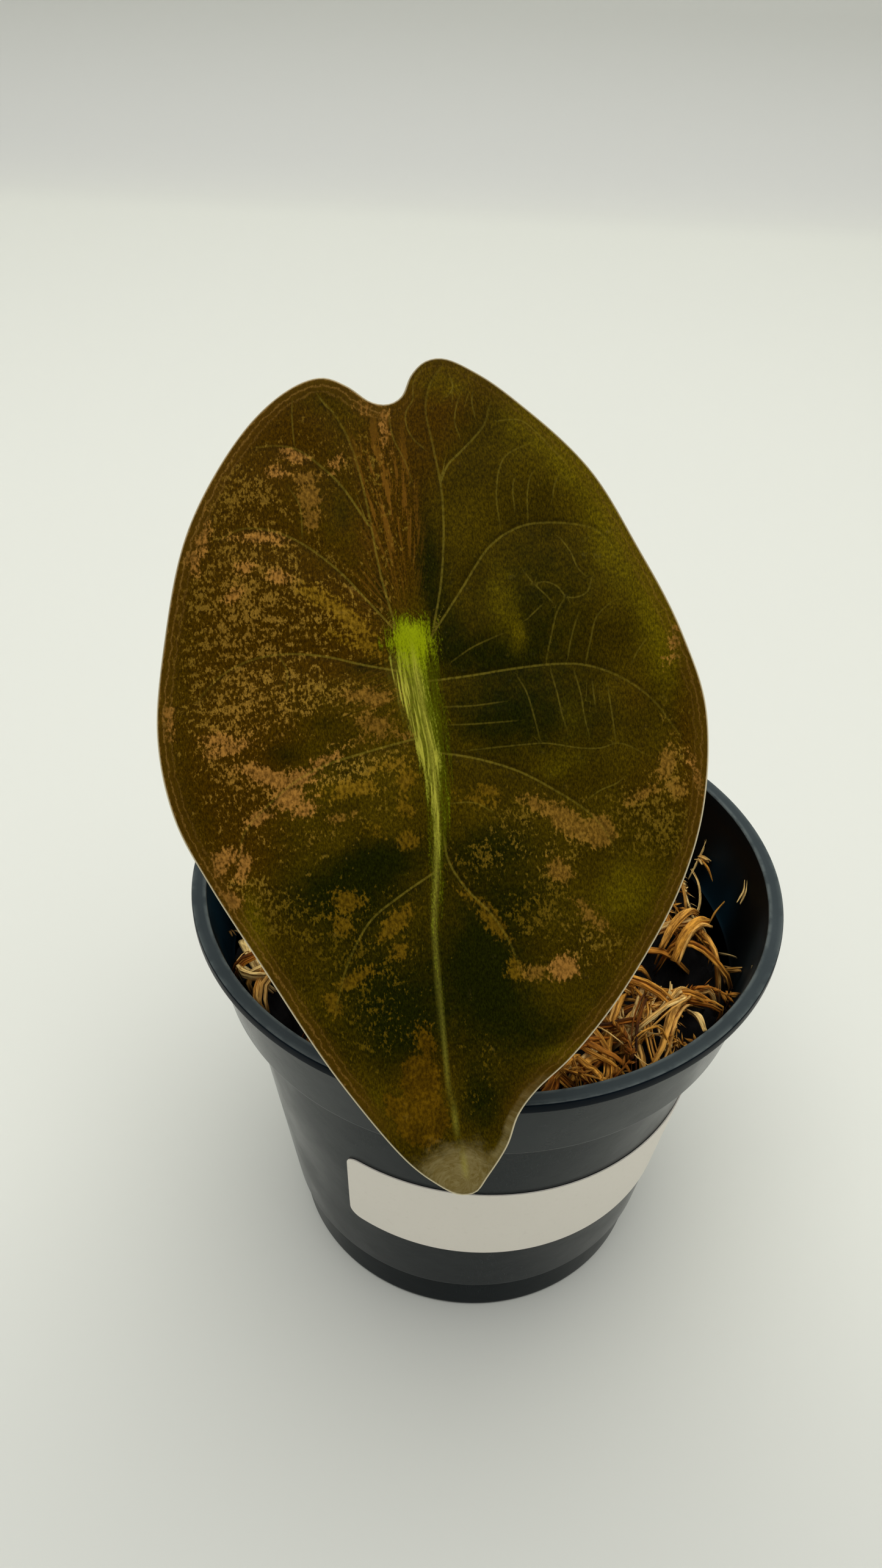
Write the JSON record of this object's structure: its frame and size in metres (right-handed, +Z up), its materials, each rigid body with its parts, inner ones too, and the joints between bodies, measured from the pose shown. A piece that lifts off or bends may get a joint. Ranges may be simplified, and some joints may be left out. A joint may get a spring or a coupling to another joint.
{
  "type": "potted alocasia sedenii",
  "caption": "Young alocasia sedenii: a variegated shield-shaped leaf on a slender petiole, growing in long-fibre moss in a tapered plastic nursery pot with a blank paper label.",
  "frame": {"origin": "centre of the pot's underside, on the surface it stands on", "axes": "+Z up along the pot's axis, -Y towards the side that the leaf's tip hangs over, +X to the right seen from there"},
  "size_m": [0.076, 0.0862, 0.127],
  "materials": {
    "pot_plastic": "satin charcoal moulded plastic",
    "label_paper": "matt cream label paper",
    "moss_fibre": "damp golden-brown long-fibre moss",
    "corm_skin": "dull brown fibrous skin, paler sheath",
    "petiole_skin": "smooth waxy light green",
    "leaf_skin": "satin olive green with tan and copper variegation, maroon underside"
  },
  "bodies": {
    "root": {"pot": "pot_plastic", "label": "label_paper", "moss": "moss_fibre", "corm": "corm_skin", "petiole": "petiole_skin", "leaf_blade": "leaf_skin"}
  },
  "joints": []
}
